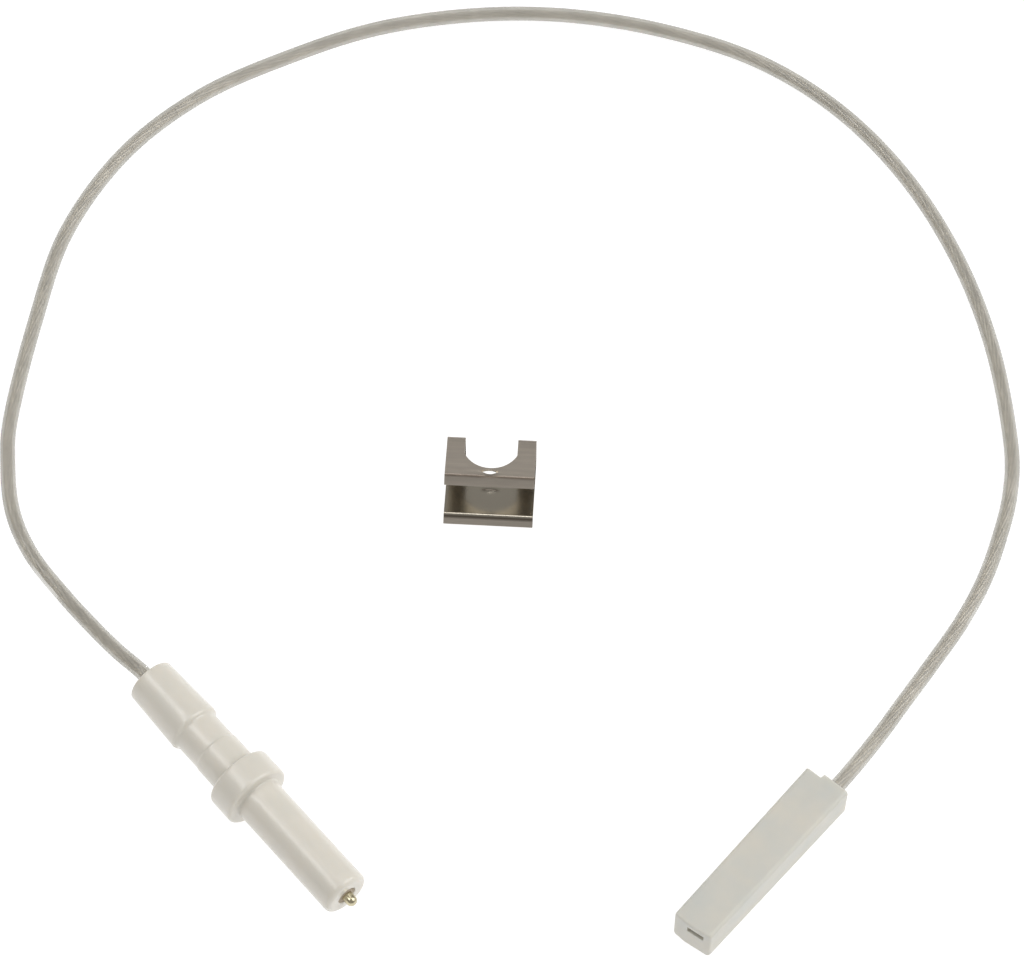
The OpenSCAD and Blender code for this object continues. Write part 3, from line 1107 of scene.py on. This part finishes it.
    def build_ferrule(self) -> bpy.types.Object:
        """Turns the ferrule and presses two rings of dents into it."""
        back, front = self.rod_back - self.ferrule_length / 2, self.rod_back + self.ferrule_length / 2
        outline = [
            Corner(back, self.core_radius),
            Corner(back, self.ferrule_radius, 0.2 * MM),
            Corner(front, self.ferrule_radius, 0.2 * MM),
            Corner(front, self.rod_radius),
            Corner(self.rod_back, self.rod_radius),
            Corner(self.rod_back, self.core_radius),
        ]
        bm = turned(outline, closed=True, steps=48)
        for vert in bm.verts:
            radius = math.hypot(vert.co.y, vert.co.z)
            if radius < self.ferrule_radius - 0.01 * MM:
                continue
            angle = math.atan2(vert.co.z, vert.co.y)
            off_ring = min(abs(vert.co.x - self.rod_back - side * self.dent_place) for side in (-1, 1))
            near = math.exp(-((off_ring / self.dent_spread) ** 2))
            dent = self.dent_depth * near * max(0.0, math.cos(4 * angle)) ** 2
            vert.co.yz *= 1 - dent / radius
        steel = DrawnMetal("plated_steel", (0.66, 0.65, 0.62), (0.5, 0.49, 0.47))
        return self.fit(bm, "crimped_ferrule", steel.build(), Slot.FERRULE, "rod_ferrule")

    def build_potting(self) -> bpy.types.Object:
        """Turns the potting, dished between the lead and the ceramic."""
        face = self.rear + 0.4 * MM
        seat = self.rod_back - self.ferrule_length / 2
        outline = [
            Corner(face - 0.15 * MM, self.jacket_radius, 0.05 * MM),
            Corner(face + 0.1 * MM, 0.5 * (self.jacket_radius + self.rear_hole_radius), 0.2 * MM),
            Corner(face - 0.15 * MM, self.rear_hole_radius, 0.05 * MM),
            Corner(seat, self.rear_hole_radius),
            Corner(seat, self.core_radius),
            Corner(self.jacket_back, self.core_radius),
            Corner(self.jacket_back, self.jacket_radius),
        ]
        bm = turned(outline, closed=True, steps=48)
        cement = Cement("pale_potting", (0.6, 0.57, 0.5), (0.48, 0.45, 0.39))
        return self.fit(bm, "dished_potting", cement.build(), Slot.CEMENT, "rear_potting")


# --- Retaining clip --------------------------------------------------------------------------


@dataclass(frozen=True)
class Leg:
    """Stretch of the folded strip: its length along the middle of the sheet and its turn."""

    length: float
    turn: float = 0.0


@dataclass
class Clip:
    """Spring clip folded from one blank, with a slot for the neck and a barb behind each slot end."""

    floor_height: float
    width: float = 14.6 * MM
    gap: float = 6.2 * MM
    sheet: float = 0.5 * MM
    bend: float = 0.5 * MM
    top_length: float = 7.7 * MM
    low_length: float = 10.7 * MM
    lip: float = 1.3 * MM
    lip_turn: float = math.radians(45.0)
    slot_width: float = 8.6 * MM
    low_slot_depth: float = 5.4 * MM
    top_slot_depth: float = 6.4 * MM
    slot_round: float = 0.55
    barb_width: float = 2.8 * MM
    # Pairs for the barbs: the lower one, then the upper one.
    barb_open: tuple[float, float] = (0.3 * MM, 0.8 * MM)
    barb_press: tuple[float, float] = (0.2 * MM, 0.32 * MM)
    barb_gap: float = 0.25 * MM
    # How far the pressing spreads from an opening: away from it, and along it.
    press_spread: tuple[float, float] = (0.75 * MM, 0.95 * MM)
    # How far the painted shade spreads either side of each bend.
    shade_spread: float = 0.2 * MM
    # The painted shadow and burr round the lower opening: across it, along it, and its strength.
    barb_shadow: tuple[float, float, float] = (0.35 * MM, 1.3 * MM, 0.85)
    rim: float = 0.05 * MM
    grid: float = 0.3 * MM
    web: tuple[float, float] = (-23.8 * MM, 68.3 * MM)
    turn: float = math.radians(-44.0)

    @property
    def middle_bend(self) -> float:
        """Bend radius at the middle of the sheet."""
        return self.bend + self.sheet / 2

    @property
    def outer_bend(self) -> float:
        """Bend radius on the outside."""
        return self.bend + self.sheet

    def legs(self) -> list[Leg]:
        """The strip from the lower lip, round the web, to the upper lip."""
        quarter = math.pi / 2
        lip_bend = Leg(self.middle_bend * self.lip_turn, self.lip_turn)
        corner = Leg(self.middle_bend * quarter, -quarter)
        return [
            Leg(self.lip), lip_bend, Leg(self.low_length - self.outer_bend), corner,
            Leg(self.gap + 2 * self.sheet - 2 * self.outer_bend), corner,
            Leg(self.top_length - self.outer_bend), Leg(lip_bend.length, -self.lip_turn), Leg(self.lip),
        ]

    def station(self, leg: int) -> float:
        """Where a leg starts along the blank."""
        return sum(part.length for part in self.legs()[:leg])

    def low_station(self, u: float) -> float:
        """Blank station of a depth u on the lower flange."""
        return self.station(2) + self.low_length - u

    def top_station(self, u: float) -> float:
        """Blank station of a depth u on the upper flange."""
        return self.station(6) + u - self.outer_bend

    def folded(self, s: float, w: float) -> tuple[float, float]:
        """Folds a point of the blank.

        Args:
            s: Station along the blank.
            w: Distance out from the middle of the sheet.

        Returns:
            Its depth and height in the clip's own section.
        """
        bend = self.middle_bend
        reach = bend * math.sin(self.lip_turn) + self.lip * math.cos(self.lip_turn)
        drop = bend * (1 - math.cos(self.lip_turn)) + self.lip * math.sin(self.lip_turn)
        u, z = self.low_length + reach, self.sheet / 2 - drop
        heading = math.pi - self.lip_turn
        for leg in self.legs():
            here = min(s, leg.length)
            if leg.turn:
                radius = leg.length / leg.turn
                angle = leg.turn * here / leg.length
                u += radius * (math.sin(heading + angle) - math.sin(heading))
                z -= radius * (math.cos(heading + angle) - math.cos(heading))
                heading += angle
            else:
                u += here * math.cos(heading)
                z += here * math.sin(heading)
            s -= here
            if s <= 0.0:
                break
        return u - w * math.sin(heading), z + w * math.cos(heading)

    @property
    def barbs(self) -> tuple[float, float]:
        """Blank stations of the two barbs' openings, lower and upper."""
        beyond = self.barb_gap + self.barb_open[1] / 2
        return self.low_station(self.low_slot_depth + beyond), self.top_station(self.top_slot_depth + beyond)

    def slot_loop(self) -> list[tuple[float, float]]:
        """Outline of the slot in the blank, closed at both ends by a shallow arc."""
        radius = self.slot_round * self.slot_width
        half = math.asin(self.slot_width / 2 / radius)
        points = []
        ends = ((self.low_station, self.low_slot_depth, -1), (self.top_station, self.top_slot_depth, 1))
        for station, depth, way in ends:
            for k in range(17):
                angle = half * (2 * k / 16 - 1)
                u = depth - radius * (1 - math.cos(angle))
                points.append((station(u), way * radius * math.sin(angle)))
        return points

    def barb_loop(self, centre: float, gape: float) -> list[tuple[float, float]]:
        """Lens-shaped outline of a barb's opening in the blank.

        Args:
            centre: Blank station of its middle.
            gape: How wide it is open at its middle.

        Returns:
            The outline's points.
        """
        half_w, half_o = self.barb_width / 2, gape / 2
        radius = (half_w**2 + half_o**2) / (2 * half_o)
        half = math.asin(half_w / radius)
        points = []
        for way in (1, -1):
            for k in range(12):
                angle = half * (2 * k / 12 - 1) * way
                bulge = radius * math.cos(angle) - radius + half_o
                points.append((centre + way * bulge, radius * math.sin(angle)))
        return points

    def flat_blank(self) -> bmesh.types.BMesh:
        """Cuts the flat blank, scores it where it bends and gives it its thickness."""
        bm = bmesh.new()
        total, half = sum(leg.length for leg in self.legs()), self.width / 2
        loops = [[(0.0, -half), (total, -half), (total, half), (0.0, half)], self.slot_loop()]
        loops += [self.barb_loop(centre, gape) for centre, gape in zip(self.barbs, self.barb_open)]
        edges = []
        for outline in loops:
            verts = [bm.verts.new((s, v, 0.0)) for s, v in outline]
            edges += [bm.edges.new((a, b)) for a, b in zip(verts, verts[1:] + verts[:1])]
        bmesh.ops.triangle_fill(bm, use_beauty=True, use_dissolve=False, edges=edges, normal=(0.0, 0.0, 1.0))
        self.score(bm)
        made = bmesh.ops.extrude_face_region(bm, geom=bm.faces[:])
        lifted = [v for v in made["geom"] if isinstance(v, bmesh.types.BMVert)]
        bmesh.ops.translate(bm, verts=lifted, vec=(0.0, 0.0, self.sheet))
        bmesh.ops.translate(bm, verts=bm.verts[:], vec=(0.0, 0.0, -self.sheet / 2))
        bmesh.ops.recalc_face_normals(bm, faces=bm.faces[:])
        rims = [e for e in bm.edges if len(e.link_faces) == 2 and e.calc_face_angle(0.0) > 1.0
                and abs(e.verts[0].co.z - e.verts[1].co.z) < self.sheet / 2]
        bmesh.ops.bevel(bm, geom=rims, offset=self.rim, offset_type="OFFSET", segments=2, profile=0.5,
                        affect="EDGES", material=-1, clamp_overlap=True)
        return bm

    def score(self, bm: bmesh.types.BMesh) -> None:
        """Adds the edge lines that the bends and the barbs need to the flat blank."""
        stations = []
        for number, leg in enumerate(self.legs()):
            start = self.station(number)
            steps = 10 if leg.turn else 3
            stations += [start + leg.length * k / steps for k in range(1 if number == 0 else 0, steps)]
        stations += [centre + k * 0.2 * MM for centre in self.barbs for k in range(-8, 9)]
        cuts = [((s, 0.0, 0.0), (1.0, 0.0, 0.0)) for s in stations]
        cuts += [((0.0, k * self.grid, 0.0), (0.0, 1.0, 0.0)) for k in range(-7, 8)]
        for place, normal in cuts:
            bmesh.ops.bisect_plane(bm, geom=bm.verts[:] + bm.edges[:] + bm.faces[:], dist=1e-8,
                                   plane_co=place, plane_no=normal)

    def press(self, s: float, v: float) -> float:
        """How far a point of the blank is pressed inwards, on the slot's far side of a barb's opening.

        Args:
            s: Station along the blank.
            v: Distance from the blank's middle line.

        Returns:
            The depth of the pressing.
        """
        total = 0.0
        away, along = self.press_spread
        for centre, way, depth in zip(self.barbs, (-1, 1), self.barb_press):
            beyond = way * (s - centre)
            if beyond > 0.0:
                total += depth * math.exp(-((beyond / away) ** 2) - (v / along) ** 2)
        return total

    def shade_share(self, s: float, v: float, w: float) -> float:
        """How much painted shade darkens the steel at a point: along its bends and round the lower opening.

        Args:
            s: Station along the blank.
            v: Distance from the blank's middle line.
            w: Distance out from the middle of the sheet.

        Returns:
            A share from 0 to 1.
        """
        bends = [self.station(number) + leg.length / 2 for number, leg in enumerate(self.legs()) if leg.turn]
        near = min(abs(s - bend) for bend in bends) if w > 0.0 else abs(s - self.lip)
        across, along, strength = self.barb_shadow
        opening_shadow = math.exp(-(((s - self.barbs[0]) / across) ** 2) - (v / along) ** 4)
        return max(math.exp(-((near / self.shade_spread) ** 2)), strength * opening_shadow)

    def build(self) -> bpy.types.Object:
        """Folds the blank and lays the clip on the floor.

        Returns:
            The clip, riding on its own body.
        """
        bm = self.flat_blank()
        grain = bm.loops.layers.uv.new(SpringSteel.uv)
        inner = bm.verts.layers.float.new(SpringSteel.side)
        shade_mark = bm.verts.layers.float.new(SpringSteel.shade_mark)
        for face in bm.faces:
            for loop in face.loops:
                loop[grain].uv = (loop.vert.co.x / MM, loop.vert.co.y / MM)
        for vert in bm.verts:
            s, v, w = vert.co
            vert[inner] = 1.0 if w < 0.0 and s > self.lip else 0.0
            # Painted shade along the bends and round the lower opening, which the steel's shader multiplies
            # in.
            vert[shade_mark] = self.shade_share(s, v, w)
            u, z = self.folded(s, w - self.press(s, v))
            vert.co = (u, v, z)
        drop = self.lip * math.sin(self.lip_turn) + self.bend * (1 - math.cos(self.lip_turn))
        reach = (self.low_length + self.bend * math.sin(self.lip_turn) + self.lip * math.cos(self.lip_turn)
                 - self.outer_bend)
        tilt = math.atan2(drop, reach)
        base = self.floor_height + self.outer_bend * (1 - math.cos(tilt))
        place = (Matrix.Translation((*self.web, base)) @ Matrix.Rotation(self.turn, 4, "Z")
                 @ Matrix.Rotation(-tilt, 4, "Y") @ Matrix.Translation((-self.outer_bend, 0.0, 0.0)))
        bmesh.ops.transform(bm, matrix=place, verts=bm.verts[:])
        bmesh.ops.recalc_face_normals(bm, faces=bm.faces[:])
        shade(bm, crease=math.radians(15.0))
        clip = piece_from(bm, "folded_clip", SpringSteel().build())
        return install(clip, Body.CLIP, Slot.STEEL, "retaining_clip")


def main() -> None:
    """Builds the camera and the lead first, then every other piece."""
    logging.basicConfig(level=logging.INFO, format="%(message)s")
    cad_box = [list(corner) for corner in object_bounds()]
    floor_height = cad_box[0][2]
    studio = Studio(floor_height)
    studio.place_camera()
    lead = Lead()
    lead.build_jacket()
    lead.build_core()
    plug = Plug(lead, floor_height)
    receptacle = plug.build_receptacle()
    cover = plug.build_cover()
    insulator = Insulator()
    insulator.build_ceramic()
    insulator.build_rod()
    insulator.build_cement()
    insulator.build_ferrule()
    insulator.build_potting()
    Clip(floor_height).build()
    studio.light()


if __name__ == "__main__":
    main()
